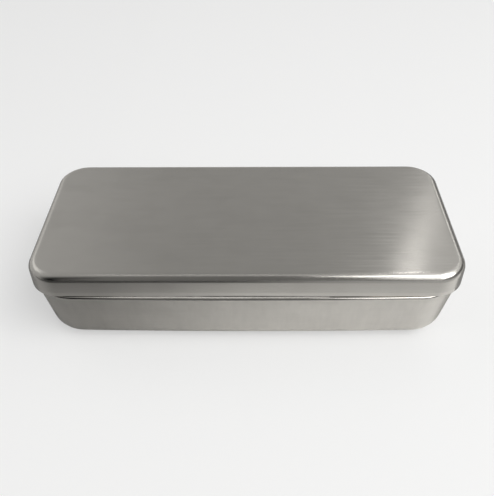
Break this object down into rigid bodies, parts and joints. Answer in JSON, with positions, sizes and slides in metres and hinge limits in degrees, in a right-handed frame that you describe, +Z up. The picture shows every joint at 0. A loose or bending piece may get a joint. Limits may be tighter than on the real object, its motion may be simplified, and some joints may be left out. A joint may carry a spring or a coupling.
{
  "type": "instrument sterilization box",
  "caption": "Low rounded-corner box of satin stainless steel for sterilizing instruments: a drawn tray with a shoulder and a neck, and a flat lid whose skirt fits over the neck.",
  "frame": {"origin": "under the middle of the tray, on the surface that the box stands on", "axes": "+X along the box's length, +Y across it towards the back, +Z up"},
  "size_m": [0.1814, 0.0824, 0.04],
  "materials": {
    "tray_steel": "satin",
    "lid_steel": "satin, brushed along the length"
  },
  "bodies": {
    "tray": {"tray": "tray_steel"},
    "lid": {"lid": "lid_steel"}
  },
  "joints": [
    {"name": "lid_lift", "type": "slide", "parent": "tray", "child": "lid", "axis": [0, 0, 1], "range_m": [0, 0.08]}
  ]
}
